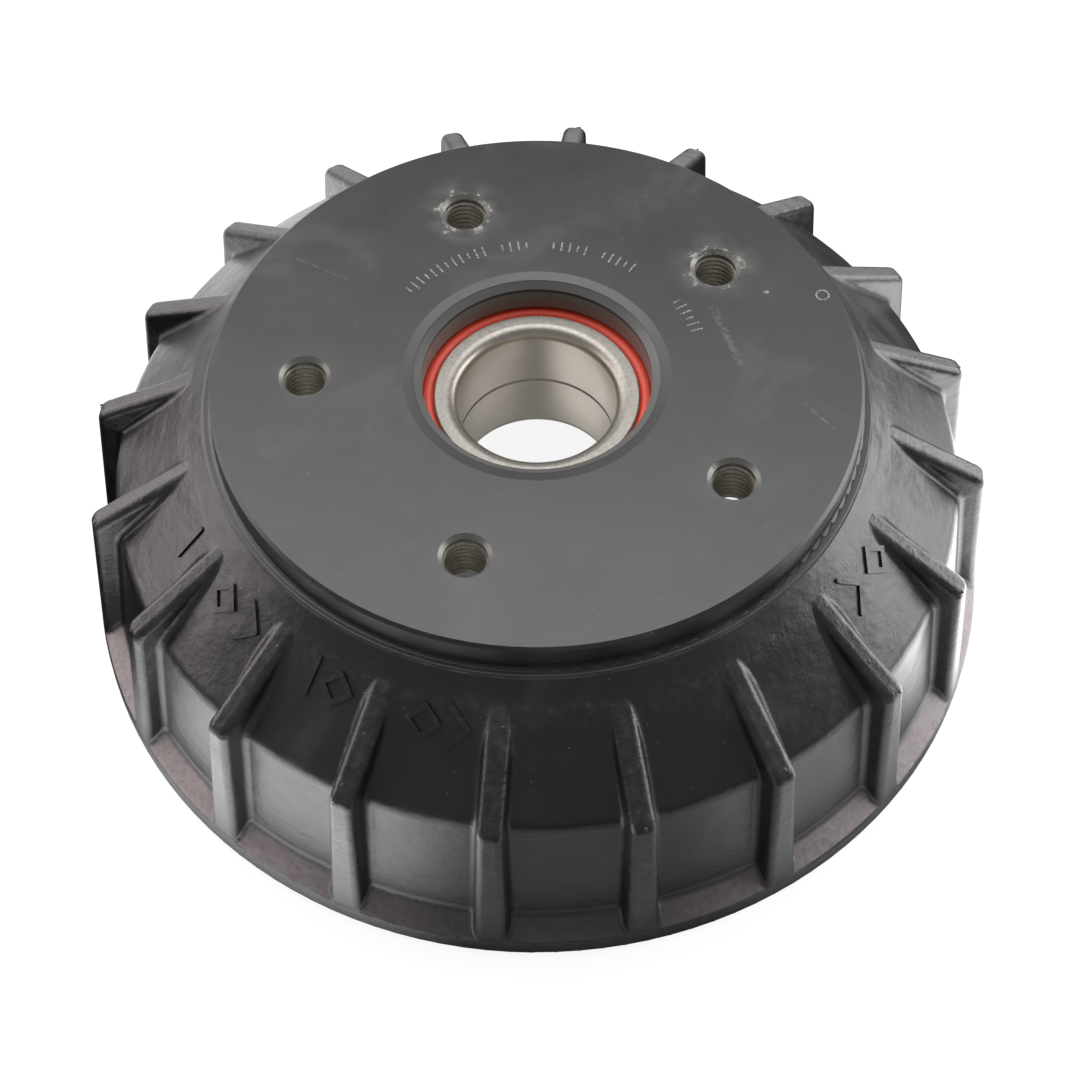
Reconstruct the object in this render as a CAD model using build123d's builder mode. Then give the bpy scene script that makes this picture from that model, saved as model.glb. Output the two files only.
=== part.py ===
from build123d import *
import os
from math import cos, hypot, radians, sin

# Braked trailer hub: a ribbed cast-iron brake drum with an integral hub, and the sealed
# double-row ball bearing that is pressed into it and held by a circlip.
# Frame: origin on the axis in the plane of the open rim, +Z towards the wheel face. Millimetres.

# ---- drum casting ----
height = 77.0  # open rim to wheel face
face_radius = 79.0
face_chamfer = 0.8
step_height = 7.4  # machined step at the edge of the wheel face
ridge_radius = 81.2  # start of the cast cone, at the foot of the step
corner_radius = 106.3  # where the cone turns into the drum wall
corner_height = 44.8
foot_radius = 110.6  # where the wall turns into the rim flange
foot_height = 10.1
rim_radius = 116.5
rim_edge = 5.0  # height of the flange's upright edge
track_radius = 100.0  # brake track
track_top = 43.5
mouth_radius = 104.0  # recess for the backplate
mouth_depth = 3.0
web_radius = 72.0  # flat underside of the web, around the wheel bolts
web_underside = 62.5

# ---- hub in the middle of the casting ----
recess_radius = 32.5  # shallow recess around the hub mouth
recess_depth = 0.4
cone_mouth_radius = 30.0
cone_mouth_depth = 1.6
hub_bore_radius = 28.0
seat_depth = 8.2  # wheel face to the bearing shoulder
hub_radius = 45.0
hub_end = 24.5

# ---- cooling ribs ----
rib_count = 20
rib_start_angle = -77.6
rib_root = (82.5, 66.9)
rib_knee = (111.9, 49.7)
rib_foot = (116.2, 7.0)
rib_half_width = 3.0
rib_foot_widening = 1.0
rib_draft = 4.0  # degrees
rib_knee_round = 4.0
rib_edge_round = 2.1
rib_root_fillet = 1.8

# ---- wheel bolt threads, M12 x 1.5 ----
bolt_circle_radius = 56.0
bolt_count = 5
bolt_start_angle = 37.0
thread_core_radius = 5.25
countersink_radius = 6.3
countersink_angle = 90.0

# ---- plain raised marks on the cone ----
mark_circle_radius = 90.7
mark_height = 10.5
mark_stroke = 1.3
mark_relief = 0.6
diamond_angles = (-143.5, -120.2, -106.5, -28.7)
bar_angles = (-155.3, -124.4)
chevron_angles = (-137.2, -101.4, -35.1)

# ---- bearing, 39 x 72 x 37 ----
bore_radius = 19.5
bearing_radius = 36.0
bearing_width = 37.0
half_width = bearing_width / 2
bearing_middle = height - seat_depth - half_width
inner_corner = 3.0
ring_chamfer = 1.0
ball_radius = 4.7625
ball_count = 14
pitch_radius = 28.0
row_offset = 7.5  # ball centres to the middle of the bearing
groove_clearance = 0.04
inner_shoulder_radius = 25.3
inner_land_radius = 24.4
outer_land_radius = 30.4
seal_seat_radius = 31.6
clip_seat_radius = 23.5
clip_groove_radius = 22.9

# ---- bearing cages ----
cage_inner_radius = 26.0
cage_outer_radius = 29.9
cage_open_side = 6.3  # distances from the middle of the bearing
cage_closed_side = 13.3
pocket_clearance = 0.09

# ---- bearing seals ----
seal_gap = 0.06  # lip to turning ring
shield_inner_radius = 27.6
shield_thickness = 0.8
shield_face = 17.1
shield_skirt_end = 14.0
seal_face = 17.9
seal_crown = 18.3
lip_radius = 27.2
lip_root = 15.2

# ---- circlip, for a 72 mm bore ----
circlip_thickness = 2.5
circlip_radius = 37.4
circlip_inner_radius = 32.6
circlip_offset = 0.9
circlip_gap = 10.0
circlip_lug = (6.6, -33.4)
circlip_lug_radius = 3.4
circlip_eye_radius = 1.5
circlip_groove_radius = 37.5
circlip_groove_width = 2.65
circlip_top = bearing_middle - half_width

sides = {"outboard": 1, "inboard": -1}
os.makedirs("parts", exist_ok=True)


def save(piece, name):
    """Label a finished piece and write its STEP file."""
    piece.part.label = name
    export_step(piece.part, f"parts/{name}.step")


# ---------------------------------------------------------------- brake drum

# One rib, in the plane of +X: its crest runs down the cone, rounds the knee and follows the wall.
rib_outline = [
    rib_root,
    rib_knee,
    rib_foot,
    (rib_foot[0], 2.0),
    (track_radius + 5.0, 2.0),
    (track_radius + 2.5, corner_height - 1.0),
    (rib_root[0] + 1.5, rib_root[1] - 6.0),
]
rib_rounds = [0, rib_knee_round, 0, 0, 0, 0, 0]
rib_rough_half_width = 6.0


def rib_side(start, end, start_width, end_width, side):
    """Drafted plane on one side of the crest line from start to end."""
    upper = Vector(start[0], side * start_width, start[1])
    lower = Vector(end[0], side * end_width, end[1])
    along = (lower - upper).normalized()
    outward = Vector(-along.Z, 0, along.X).normalized()
    inward = outward * -cos(radians(rib_draft)) + Vector(0, side * sin(radians(rib_draft)), 0)
    normal = along.cross(inward) * side
    return Plane(origin=upper, z_dir=normal)


def on_crest(edge):
    """True for the long edges on either side of the crest, the knee and the rib's outer edge."""
    middle = edge.center()
    return abs(middle.Y) > rib_half_width - 0.1 and crest_line.distance_to(Vector(middle.X, 0, middle.Z)) < 1.0


with BuildLine(Plane.XZ) as crest_builder:
    Polyline(rib_root, rib_knee, rib_foot)
crest_line = crest_builder.wire()

with BuildPart() as rib:
    with BuildSketch(Plane.XZ):
        with BuildLine():
            FilletPolyline(*rib_outline, radius=rib_rounds, close=True)
        make_face()
    extrude(amount=rib_rough_half_width, both=True)
    for side in (1, -1):
        crest_side = rib_side(rib_root, rib_knee, rib_half_width, rib_half_width, side)
        split(bisect_by=crest_side, keep=Keep.BOTTOM)
        foot_width = rib_half_width + rib_foot_widening
        wall_side = rib_side(rib_knee, rib_foot, rib_half_width, foot_width, side)
        split(bisect_by=wall_side, keep=Keep.BOTTOM)
    crest_edges = rib.edges().filter_by(on_crest)
    fillet(crest_edges, radius=rib_edge_round)

# The casting's section, from the hub mouth outwards, round the rim and back up inside.
# Each row is a radius, a height and the rounding of that corner.
drum_section = [
    (recess_radius, height, 0),
    (face_radius - face_chamfer, height, 0),
    (face_radius, height - face_chamfer, 0),
    (face_radius, height - step_height, 1.2),
    (ridge_radius, height - step_height, 0.4),
    (corner_radius, corner_height, 6.0),
    (foot_radius, foot_height, 3.5),
    (rim_radius, rim_edge, 1.5),
    (rim_radius, 0, 0.8),
    (mouth_radius, 0, 0.8),
    (mouth_radius, mouth_depth, 0),
    (track_radius, mouth_depth + 2.0, 0),
    (track_radius, track_top, 5.0),
    (web_radius, web_underside, 6.0),
    (hub_radius, web_underside, 4.0),
    (hub_radius, hub_end, 1.5),
    (bearing_radius + 1.5, hub_end, 0),
    (bearing_radius, hub_end + 1.5, 0),
    (bearing_radius, height - seat_depth, 0),
    (hub_bore_radius, height - seat_depth, 0),
    (hub_bore_radius, height - cone_mouth_depth, 0),
    (cone_mouth_radius, height - recess_depth, 0),
]

cone_slope = Vector(corner_radius - ridge_radius, 0, corner_height - height + step_height).normalized()


def cone_plane(angle):
    """Plane lying on the cast cone, its Y pointing up the slope."""
    radial = Vector(cos(radians(angle)), sin(radians(angle)), 0)
    drop = (mark_circle_radius - ridge_radius) * cone_slope.Z / cone_slope.X
    centre = radial * mark_circle_radius + Vector(0, 0, height - step_height + drop)
    return Plane(
        origin=centre,
        x_dir=(-radial.Y, radial.X, 0),
        z_dir=radial * -cone_slope.Z + Vector(0, 0, cone_slope.X),
    )


def on_rib_root(edge):
    """True for the corners between a rib and the cone or wall, short of the rib's two tips."""
    middle = edge.position_at(0.5)
    return rib_root[0] + 10.0 < hypot(middle.X, middle.Y) < rib_foot[0] - 1.5


with BuildPart() as brake_drum:
    with BuildSketch(Plane.XZ):
        with BuildLine():
            corners = [(radius, level) for radius, level, rounding in drum_section]
            FilletPolyline(*corners, radius=[row[2] for row in drum_section], close=True)
        make_face()
    revolve(axis=Axis.Z)
    with PolarLocations(0, rib_count, start_angle=rib_start_angle):
        add(rib.part)
    rib_roots = brake_drum.edges(Select.NEW).filter_by(on_rib_root)
    fillet(rib_roots, radius=rib_root_fillet)
    groove_middle = circlip_top - circlip_groove_width / 2
    with Locations((0, 0, groove_middle)):
        Cylinder(circlip_groove_radius, circlip_groove_width, mode=Mode.SUBTRACT)
    with Locations(Plane.XY.offset(height)):
        with PolarLocations(bolt_circle_radius, bolt_count, start_angle=bolt_start_angle):
            CounterSinkHole(thread_core_radius, countersink_radius,
                            depth=height - web_underside + 5.0, counter_sink_angle=countersink_angle)
    for angle in diamond_angles:
        with BuildSketch(cone_plane(angle)):
            Rectangle(mark_height * 0.62, mark_height * 0.62, rotation=45)
            offset(amount=-mark_stroke, mode=Mode.SUBTRACT)
        extrude(amount=mark_relief, both=True)
    for angle in bar_angles:
        with BuildSketch(cone_plane(angle)):
            SlotOverall(mark_height, mark_stroke, rotation=90)
        extrude(amount=mark_relief, both=True)
    for angle in chevron_angles:
        with BuildSketch(cone_plane(angle)):
            with BuildLine():
                Polyline((-2.4, -mark_height / 2), (2.4, 0), (-2.4, mark_height / 2))
                offset(amount=mark_stroke / 2)
            make_face()
        extrude(amount=mark_relief, both=True)

save(brake_drum, "brake_drum")

# ------------------------------------------------------------------- bearing


def turned(section, side=1):
    """Solid of revolution from (radius, distance from the bearing's middle) points."""
    with BuildPart() as ring:
        with BuildSketch(Plane.XZ):
            with BuildLine():
                Polyline(*[(radius, bearing_middle + side * reach) for radius, reach in section],
                         close=True)
            make_face()
        revolve(axis=Axis.Z)
    return ring.part


groove_radius = ball_radius + groove_clearance


def raceway(side):
    """The ring-shaped space that one row of balls runs in."""
    with BuildPart() as track:
        with BuildSketch(Plane.XZ):
            with Locations((pitch_radius, bearing_middle + side * row_offset)):
                Circle(groove_radius)
        revolve(axis=Axis.Z)
    return track.part


# Outer ring: one piece with both grooves, and a straight seat for a seal at each end.
outer_half = [
    (bearing_radius - ring_chamfer, half_width),
    (seal_seat_radius + 0.4, half_width),
    (seal_seat_radius, half_width - 0.4),
    (seal_seat_radius, row_offset),
    (outer_land_radius, row_offset - 2.0),
]
outer_section = [(bearing_radius, half_width - ring_chamfer)] + outer_half
outer_section += [(radius, -reach) for radius, reach in reversed(outer_section)]
with BuildPart() as bearing_outer_ring:
    add(turned(outer_section))
    for side in sides.values():
        add(raceway(side), mode=Mode.SUBTRACT)
save(bearing_outer_ring, "bearing_outer_ring")

# Inner rings: two halves that meet in the middle, each with the high shoulder at its outer end.
inner_section = [
    (bore_radius, 0.5),
    (bore_radius + 0.5, 0.0),
    (clip_seat_radius, 0.0),
    (clip_seat_radius, 1.0),
    (clip_groove_radius, 1.0),
    (clip_groove_radius, 1.6),
    (inner_land_radius, 1.6),
    (inner_land_radius, row_offset),
    (inner_shoulder_radius, row_offset),
    (inner_shoulder_radius, half_width - 0.4),
    (inner_shoulder_radius - 0.4, half_width),
    (bore_radius, half_width),
]
for name, side in sides.items():
    end_plane = bearing_middle + side * half_width
    with BuildPart() as inner_ring:
        add(turned(inner_section, side))
        add(raceway(side), mode=Mode.SUBTRACT)
        bore_mouth = inner_ring.edges().filter_by(GeomType.CIRCLE).filter_by(
            lambda edge: abs(edge.center().Z - end_plane) < 0.01 and edge.radius < bore_radius + 0.1
        )
        fillet(bore_mouth, radius=inner_corner)
    save(inner_ring, f"inner_ring_{name}")

# Spring clip that keeps the two inner rings together: a band with a hooked edge in each ring.
clip_half = [(clip_seat_radius, 1.05), (clip_groove_radius + 0.05, 1.05),
             (clip_groove_radius + 0.05, 1.5), (inner_land_radius - 0.2, 1.5)]
clip_section = [(radius, -reach) for radius, reach in reversed(clip_half)] + clip_half
with BuildPart() as inner_ring_clip:
    add(turned(clip_section))
save(inner_ring_clip, "inner_ring_clip")

# Balls and snap cages, one set for each row.
for name, side in sides.items():
    row_plane = Plane.XY.offset(bearing_middle + side * row_offset)
    with BuildPart() as balls:
        with Locations(row_plane):
            with PolarLocations(pitch_radius, ball_count):
                Sphere(ball_radius)
    save(balls, f"balls_{name}")

    cage_section = [(cage_inner_radius, cage_open_side), (cage_outer_radius, cage_open_side),
                    (cage_outer_radius, cage_closed_side), (cage_inner_radius, cage_closed_side)]
    with BuildPart() as cage:
        add(turned(cage_section, side))
        with Locations(row_plane):
            with PolarLocations(pitch_radius, ball_count):
                Sphere(ball_radius + pocket_clearance, mode=Mode.SUBTRACT)
    save(cage, f"cage_{name}")

# Seals: a pressed steel shield, and the rubber moulded over its face with a lip on the inner ring.
seal_inner_radius = inner_shoulder_radius + seal_gap
shield_section = [
    (shield_inner_radius, shield_face),
    (seal_seat_radius, shield_face),
    (seal_seat_radius, shield_skirt_end),
    (seal_seat_radius - shield_thickness, shield_skirt_end),
    (seal_seat_radius - shield_thickness, shield_face - shield_thickness),
    (shield_inner_radius, shield_face - shield_thickness),
]
rubber_section = [
    (seal_seat_radius - 0.2, shield_face),
    (seal_seat_radius - 0.2, seal_face - 0.2),
    (seal_seat_radius - 0.4, seal_face),
    (lip_radius + 0.9, seal_face),
    (lip_radius + 0.3, seal_crown - 0.1),
    (lip_radius - 0.4, seal_crown),
    (seal_inner_radius + 0.7, seal_crown - 0.1),
    (seal_inner_radius, seal_face - 0.4),
    (seal_inner_radius + 0.9, lip_root + 1.1),
    (seal_inner_radius, lip_root),
    (seal_inner_radius + 0.7, lip_root),
    (shield_inner_radius, shield_face - shield_thickness),
    (shield_inner_radius, shield_face),
]
for name, side in sides.items():
    with BuildPart() as seal_shield:
        add(turned(shield_section, side))
    save(seal_shield, f"seal_shield_{name}")
    with BuildPart() as seal_rubber:
        add(turned(rubber_section, side))
    save(seal_rubber, f"seal_rubber_{name}")

# Circlip: thickest opposite its gap, with an eye in each end for the pliers.
with BuildPart() as bearing_circlip:
    with BuildSketch(Plane.XY.offset(circlip_top)):
        Circle(circlip_radius)
        with Locations((0, -circlip_offset)):
            Circle(circlip_inner_radius, mode=Mode.SUBTRACT)
        lug_x, lug_y = circlip_lug
        with Locations((lug_x, lug_y), (-lug_x, lug_y)):
            Circle(circlip_lug_radius)
        with Locations((0, lug_y)):
            Rectangle(circlip_gap - 2.0, 3 * circlip_lug_radius, mode=Mode.SUBTRACT)
        with Locations((lug_x, lug_y), (-lug_x, lug_y)):
            Circle(circlip_eye_radius, mode=Mode.SUBTRACT)
    extrude(amount=-circlip_thickness)
save(bearing_circlip, "bearing_circlip")
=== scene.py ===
import math
import random

import bpy
from mathutils import Matrix, Vector


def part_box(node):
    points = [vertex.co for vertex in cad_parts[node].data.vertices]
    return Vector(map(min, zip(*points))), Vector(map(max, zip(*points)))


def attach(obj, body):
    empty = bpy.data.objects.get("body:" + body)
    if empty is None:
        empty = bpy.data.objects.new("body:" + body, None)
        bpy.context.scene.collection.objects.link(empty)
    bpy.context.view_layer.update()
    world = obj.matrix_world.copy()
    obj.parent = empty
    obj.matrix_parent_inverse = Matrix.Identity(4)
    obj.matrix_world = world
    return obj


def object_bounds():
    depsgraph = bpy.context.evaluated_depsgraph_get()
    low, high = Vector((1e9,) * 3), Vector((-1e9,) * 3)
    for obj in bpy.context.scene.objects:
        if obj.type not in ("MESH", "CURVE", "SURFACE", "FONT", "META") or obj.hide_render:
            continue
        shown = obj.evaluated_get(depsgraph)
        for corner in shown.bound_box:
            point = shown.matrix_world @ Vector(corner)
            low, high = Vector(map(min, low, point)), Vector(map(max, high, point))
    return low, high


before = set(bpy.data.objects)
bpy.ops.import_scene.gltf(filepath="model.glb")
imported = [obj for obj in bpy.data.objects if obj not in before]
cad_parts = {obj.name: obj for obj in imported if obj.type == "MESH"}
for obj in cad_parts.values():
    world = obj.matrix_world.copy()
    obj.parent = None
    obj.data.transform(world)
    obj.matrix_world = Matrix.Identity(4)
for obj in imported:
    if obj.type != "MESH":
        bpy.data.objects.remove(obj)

cad_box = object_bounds()
bpy.ops.object.select_all(action="DESELECT")

# The view: a short telephoto that looks down on the wheel face from the front, with the part standing
# on its open rim. Plain display colours keep the paint as dark as it is.
view_place = (0.00066, -0.3340, 0.4846)
view_tilt = math.radians(34.93)
view_roll = math.radians(-0.167)
view_sensor_width = 36.0
view_lens = 72.6
bpy.ops.object.camera_add(location=view_place)
camera = bpy.context.object
view_turn = Matrix.Rotation(view_tilt, 4, "X") @ Matrix.Rotation(view_roll, 4, "Z")
camera.matrix_world = camera.matrix_world @ view_turn
camera.data.sensor_width = view_sensor_width
camera.data.lens = view_lens
bpy.context.scene.camera = camera
bpy.context.scene.view_settings.view_transform = "Standard"

# The drum: one grey-iron sand casting with its hub, step, cone, wall, flange and twenty ribs. The face and
# the hub are turned, the five holes drilled and tapped, and the outside is dipped in satin black paint.
# The track and the hub's bore are turned after that and stay bare.
mm = 0.001


def linear(hex_colour):
    """The linear colour of an sRGB hex value."""
    parts = [int(hex_colour[i : i + 2], 16) / 255 for i in (0, 2, 4)]
    return tuple(c / 12.92 if c <= 0.04045 else ((c + 0.055) / 1.055) ** 2.4 for c in parts) + (1.0,)


def add(material, kind, settings={}, inputs={}):
    """Adds one node with its settings, and gives each input a value or a link."""
    node = material.node_tree.nodes.new("ShaderNode" + kind)
    for name, value in settings.items():
        setattr(node, name, value)
    for name, value in inputs.items():
        if isinstance(value, bpy.types.Node):
            value = value.outputs[0]
        if isinstance(value, bpy.types.NodeSocket):
            material.node_tree.links.new(value, node.inputs[name])
        else:
            node.inputs[name].default_value = value
    return node


def new_material(name):
    """An empty node material."""
    material = bpy.data.materials.new(name)
    material.use_nodes = True
    material.node_tree.nodes.clear()
    return material


def finish_node(name, material):
    """Gives a node of the frame its finish."""
    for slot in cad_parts[name].material_slots:
        slot.material = material


# Satin black dip paint over cast iron: dark, half-matt, and the sand grain of the casting shows through.
# The turned face under it is smooth, with faint rubbed patches; edges are worn lighter. A Mix of colours
# takes them on sockets 6 and 7 and gives output 2, and a Mix of numbers takes them on 2 and 3.
casting = new_material("satin_black_paint_on_sand_cast_iron")
face_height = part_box("brake_drum")[1].z
machined_floor = 0.0690
step_top = 0.0660
lip_radius = 0.0326
lip_foot = 0.0744
lip_crease_radius = 0.0300
hub_zone_radius = 0.0378
dull_zone_foot = 0.0600
track_radius = 0.1000
track_top = 0.0436
recess_zone_radius = 0.1043
recess_zone_top = 3.1 * mm
knee_radius = 0.1119
knee_height = 0.0497
rib_count = 20
first_rib = math.radians(-77.6)
bolt_count = 5
bolt_circle_radius = 0.0560
first_bolt = math.radians(37.0)
bolt_step = 2 * math.pi / bolt_count
countersink_inside = 6.1 * mm
countersink_edge = 6.45 * mm

place = add(casting, "TexCoord").outputs["Object"]
axes = add(casting, "SeparateXYZ", {}, {0: place})
east, north, up = axes.outputs
flat = add(casting, "CombineXYZ", {}, {0: east, 1: north})
radius = add(casting, "VectorMath", {"operation": "LENGTH"}, {0: flat}).outputs["Value"]
angle = add(casting, "Math", {"operation": "ARCTAN2"}, {0: north, 1: east})

# where the casting is turned and painted: all above the foot of the step
machined = add(
    casting,
    "MapRange",
    {},
    {"Value": up, "From Min": machined_floor, "From Max": machined_floor + 0.4 * mm},
)

# distance from the nearest bolt hole's axis
bolt_turn = add(casting, "Math", {"operation": "ADD"}, {0: angle, 1: bolt_step / 2 - first_bolt})
bolt_wrap = add(casting, "Math", {"operation": "FLOORED_MODULO"}, {0: bolt_turn, 1: bolt_step})
bolt_angle = add(casting, "Math", {"operation": "SUBTRACT"}, {0: bolt_wrap, 1: bolt_step / 2})
bolt_cos = add(casting, "Math", {"operation": "COSINE"}, {0: bolt_angle})
bolt_sin = add(casting, "Math", {"operation": "SINE"}, {0: bolt_angle})
bolt_along = add(casting, "Math", {"operation": "MULTIPLY"}, {0: radius, 1: bolt_cos})
bolt_out = add(casting, "Math", {"operation": "SUBTRACT"}, {0: bolt_along, 1: bolt_circle_radius})
bolt_side = add(casting, "Math", {"operation": "MULTIPLY"}, {0: radius, 1: bolt_sin})
bolt_offset = add(casting, "CombineXYZ", {}, {0: bolt_out, 1: bolt_side})
bolt_distance = add(casting, "VectorMath", {"operation": "LENGTH"}, {0: bolt_offset}).outputs["Value"]

# the crest of each rib, from the step down to the knee and on to the flange, where the mould's parting
# shows: each of the two stretches is told by how far it faces out and up
slope_faces = (0.505, 0.863)
edge_faces = (0.995, 0.100)
stretches = []
for faces_out, faces_up in (slope_faces, edge_faces):
    knee_level = faces_out * knee_radius + faces_up * knee_height
    out_level = add(
        casting, "Math", {"operation": "MULTIPLY_ADD"}, {0: radius, 1: faces_out, 2: -knee_level}
    )
    stretch = add(casting, "Math", {"operation": "MULTIPLY_ADD"}, {0: up, 1: faces_up, 2: out_level})
    stretches.append(stretch)
crest_line = add(casting, "Math", {"operation": "MAXIMUM"}, {0: stretches[0], 1: stretches[1]})
crest_near = add(
    casting,
    "MapRange",
    {"interpolation_type": "SMOOTHSTEP"},
    {"Value": crest_line, "From Min": -1.8 * mm, "From Max": -0.4 * mm},
)
below_step = add(
    casting, "MapRange", {}, {"Value": up, "From Min": step_top, "From Max": step_top - 2 * mm}
)
crest = add(casting, "Math", {"operation": "MULTIPLY"}, {0: crest_near, 1: below_step})

# bare iron: the track, the backplate recess, the hub's bore and mouth, and the countersinks
hub_inside = add(casting, "Math", {"operation": "LESS_THAN"}, {0: radius, 1: hub_zone_radius})
below_lip = add(casting, "Math", {"operation": "LESS_THAN"}, {0: up, 1: lip_foot})
hub_bare = add(casting, "Math", {"operation": "MULTIPLY"}, {0: hub_inside, 1: below_lip})
lip_inside = add(casting, "Math", {"operation": "LESS_THAN"}, {0: radius, 1: lip_radius})
above_lip_foot = add(casting, "Math", {"operation": "GREATER_THAN"}, {0: up, 1: lip_foot})
lip = add(casting, "Math", {"operation": "MULTIPLY"}, {0: lip_inside, 1: above_lip_foot})
track_band = add(casting, "Math", {"operation": "COMPARE"}, {0: radius, 1: track_radius, 2: 0.4 * mm})
track_low = add(casting, "Math", {"operation": "LESS_THAN"}, {0: up, 1: track_top})
track_bare = add(casting, "Math", {"operation": "MULTIPLY"}, {0: track_band, 1: track_low})
recess_band = add(casting, "Math", {"operation": "LESS_THAN"}, {0: radius, 1: recess_zone_radius})
recess_low = add(casting, "Math", {"operation": "LESS_THAN"}, {0: up, 1: recess_zone_top})
recess_bare = add(casting, "Math", {"operation": "MULTIPLY"}, {0: recess_band, 1: recess_low})
hole_edge = add(
    casting,
    "MapRange",
    {},
    {
        "Value": bolt_distance,
        "From Min": countersink_inside,
        "From Max": countersink_edge,
        "To Min": 1.0,
        "To Max": 0.0,
    },
)
turned_bare = add(casting, "Math", {"operation": "MAXIMUM"}, {0: hub_bare, 1: track_bare})
turned_all = add(casting, "Math", {"operation": "MAXIMUM"}, {0: turned_bare, 1: recess_bare})

# paint rubbed and flaked off round the holes, more on the two that were used last
flake_grain = add(
    casting,
    "TexNoise",
    {},
    {"Vector": place, "Scale": 1 / (1.6 * mm), "Detail": 5.0, "Roughness": 0.65, "Distortion": 0.6},
)
flake_reach = add(
    casting,
    "MapRange",
    {},
    {"Value": bolt_distance, "From Min": 6.3 * mm, "From Max": 11.5 * mm, "To Min": 0.0, "To Max": -0.34},
)
used_side = add(
    casting,
    "MapRange",
    {},
    {"Value": north, "From Min": 0.0, "From Max": 0.045, "To Min": -0.10, "To Max": 0.10},
)
flake_bias = add(casting, "Math", {"operation": "ADD"}, {0: flake_reach, 1: used_side})
flake_patch = add(casting, "TexNoise", {}, {"Vector": place, "Scale": 1 / (6.5 * mm), "Detail": 2.0})
flake_break = add(
    casting,
    "MapRange",
    {},
    {"Value": flake_patch, "From Min": 0.40, "From Max": 0.60, "To Min": -0.16, "To Max": 0.06},
)
flake_where = add(casting, "Math", {"operation": "ADD"}, {0: flake_bias, 1: flake_break})
flake_sum = add(casting, "Math", {"operation": "ADD"}, {0: flake_grain, 1: flake_where})
flake_spread = add(
    casting,
    "MapRange",
    {"interpolation_type": "SMOOTHSTEP"},
    {"Value": flake_sum, "From Min": 0.54, "From Max": 0.70},
)
flakes = add(casting, "Math", {"operation": "MULTIPLY"}, {0: flake_spread, 1: machined})

# a soft grey halo where sockets have rubbed round the two used holes
halo_near = add(
    casting,
    "MapRange",
    {"interpolation_type": "SMOOTHSTEP"},
    {"Value": bolt_distance, "From Min": 5.0 * mm, "From Max": 13.5 * mm, "To Min": 1.0, "To Max": 0.0},
)
halo_side = add(
    casting,
    "MapRange",
    {},
    {"Value": north, "From Min": 0.005, "From Max": 0.040, "To Min": 0.15, "To Max": 0.75},
)
halo_grain = add(casting, "MapRange", {}, {"Value": flake_patch, "From Min": 0.35, "From Max": 0.65})
halo_full = add(casting, "Math", {"operation": "MULTIPLY"}, {0: halo_near, 1: halo_side})
halo_broken = add(casting, "Math", {"operation": "MULTIPLY"}, {0: halo_full, 1: halo_grain})
halo = add(casting, "Math", {"operation": "MULTIPLY"}, {0: halo_broken, 1: machined})

# scuffs: streaks where a tool slid over the face, each from one point to another and so wide, in metres
scuffs = [
    ((0.0435, 0.0205), (0.0492, 0.0030), 0.0016),
    ((0.0640, -0.0100), (0.0705, -0.0175), 0.0005),
    ((-0.047, 0.030), (-0.060, 0.037), 0.0005),
]
scuff = 0.0
for (start_x, start_y), (end_x, end_y), scuff_width in scuffs:
    start = Vector((start_x, start_y, 0.0))
    run = Vector((end_x, end_y, 0.0)) - start
    from_start = add(casting, "VectorMath", {"operation": "SUBTRACT"}, {0: flat, 1: start})
    along_run = add(
        casting, "VectorMath", {"operation": "DOT_PRODUCT"}, {0: from_start, 1: run / run.length_squared}
    ).outputs["Value"]
    along_part = add(casting, "Clamp", {}, {0: along_run})
    nearest = add(casting, "VectorMath", {"operation": "SCALE"}, {0: run, "Scale": along_part})
    aside = add(
        casting, "VectorMath", {"operation": "DISTANCE"}, {0: from_start, 1: nearest}
    ).outputs["Value"]
    streak = add(
        casting,
        "MapRange",
        {"interpolation_type": "SMOOTHSTEP"},
        {"Value": aside, "From Min": 0.0, "From Max": scuff_width, "To Min": 1.0, "To Max": 0.0},
    )
    scuff = add(casting, "Math", {"operation": "MAXIMUM"}, {0: scuff, 1: streak})
scuff_grain = add(casting, "MapRange", {}, {"Value": flake_grain, "From Min": 0.42, "From Max": 0.60})
scuff_broken = add(casting, "Math", {"operation": "MULTIPLY"}, {0: scuff, 1: scuff_grain})
scuffed = add(casting, "Math", {"operation": "MULTIPLY"}, {0: scuff_broken, 1: machined})

# faint rubbed patches and dust on the face
smudge = add(
    casting,
    "TexNoise",
    {},
    {"Vector": place, "Scale": 1 / (26 * mm), "Detail": 4.0, "Roughness": 0.6, "Distortion": 0.8},
)
smudges = add(
    casting,
    "MapRange",
    {"interpolation_type": "SMOOTHSTEP"},
    {"Value": smudge, "From Min": 0.50, "From Max": 0.72},
)
speck = add(casting, "TexNoise", {}, {"Vector": place, "Scale": 1 / (1.1 * mm), "Detail": 2.0})
specks = add(casting, "MapRange", {}, {"Value": speck, "From Min": 0.74, "From Max": 0.79})

# colours, from the paint up to bare iron
facing_up = add(casting, "SeparateXYZ", {}, {0: add(casting, "NewGeometry").outputs["Normal"]}).outputs[2]
paint_deep = linear("121316")
paint_worn = linear("242425")
paint_tone = add(
    casting, "Mix", {"data_type": "RGBA"}, {0: smudges, 6: paint_deep, 7: paint_worn}
).outputs[2]
crest_wear = add(
    casting, "TexNoise", {}, {"Vector": place, "Scale": 1 / (2.2 * mm), "Detail": 4.0, "Roughness": 0.7}
)
crest_patch = add(
    casting, "MapRange", {}, {"Value": crest_wear, "From Min": 0.45, "From Max": 0.70, "To Max": 0.30}
)
crest_fade = add(casting, "Math", {"operation": "MULTIPLY"}, {0: crest, 1: crest_patch})
crest_tone = add(
    casting, "Mix", {"data_type": "RGBA"}, {0: crest_fade, 6: paint_tone, 7: linear("454445")}
).outputs[2]
speck_tone = add(
    casting, "Mix", {"data_type": "RGBA"}, {0: specks, 6: crest_tone, 7: linear("5a5956")}
).outputs[2]
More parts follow.
